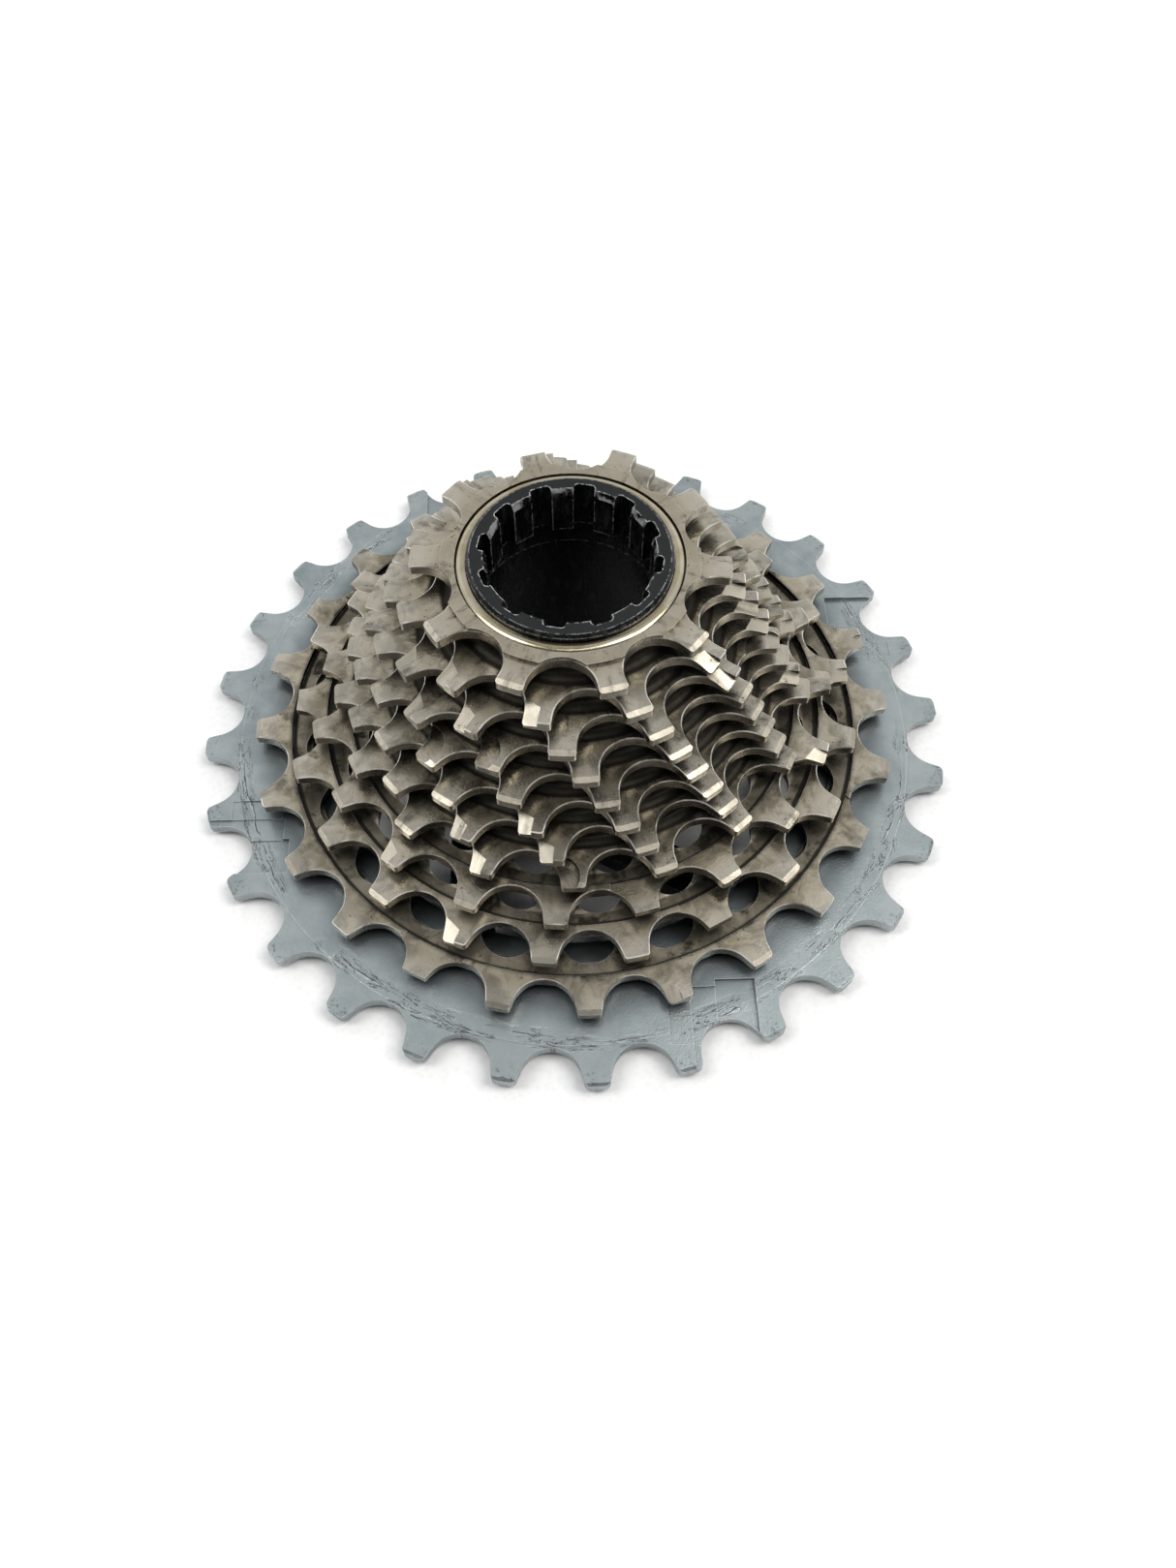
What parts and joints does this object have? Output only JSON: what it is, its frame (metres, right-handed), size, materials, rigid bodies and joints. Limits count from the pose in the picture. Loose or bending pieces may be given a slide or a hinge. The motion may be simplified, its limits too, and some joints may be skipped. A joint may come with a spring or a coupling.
{
  "type": "bicycle cassette",
  "caption": "Stepped stack of toothed sprockets on a splined hub, with a captive lock tube that turns in the small end.",
  "frame": {"origin": "centre of the inboard face of the splined hub, which the cassette rests on", "axes": "+Z along the wheel axis from the largest sprocket towards the smallest; -Y is the side the camera looks from"},
  "size_m": [0.1158, 0.1158, 0.045],
  "materials": {
    "nickel_steel": "nickel coating, satin, worn bright on the tooth tips",
    "grey_anodised": "blue-grey anodising, satin",
    "black_anodised": "black anodising, semi-gloss",
    "ring_steel": "polished, slightly golden",
    "pin_steel": "ground"
  },
  "bodies": {
    "cassette": {"sprocket_10t": "nickel_steel", "sprocket_11t": "nickel_steel", "sprocket_12t": "nickel_steel", "sprocket_13t": "nickel_steel", "sprocket_14t": "nickel_steel", "sprocket_15t": "nickel_steel", "sprocket_16t": "nickel_steel", "sprocket_17t": "nickel_steel", "sprocket_19t": "nickel_steel", "sprocket_21t": "nickel_steel", "sprocket_24t": "nickel_steel", "sprocket_28t": "grey_anodised", "driver_spider": "black_anodised", "drive_pins": "pin_steel", "retaining_ring": "ring_steel"},
    "lock_tube": {"lock_tube": "black_anodised"}
  },
  "joints": [
    {"name": "lock_tube_turn", "type": "hinge", "parent": "cassette", "child": "lock_tube", "pos_m": [0, 0, 0.037], "axis": [0, 0, 1], "continuous": true}
  ]
}
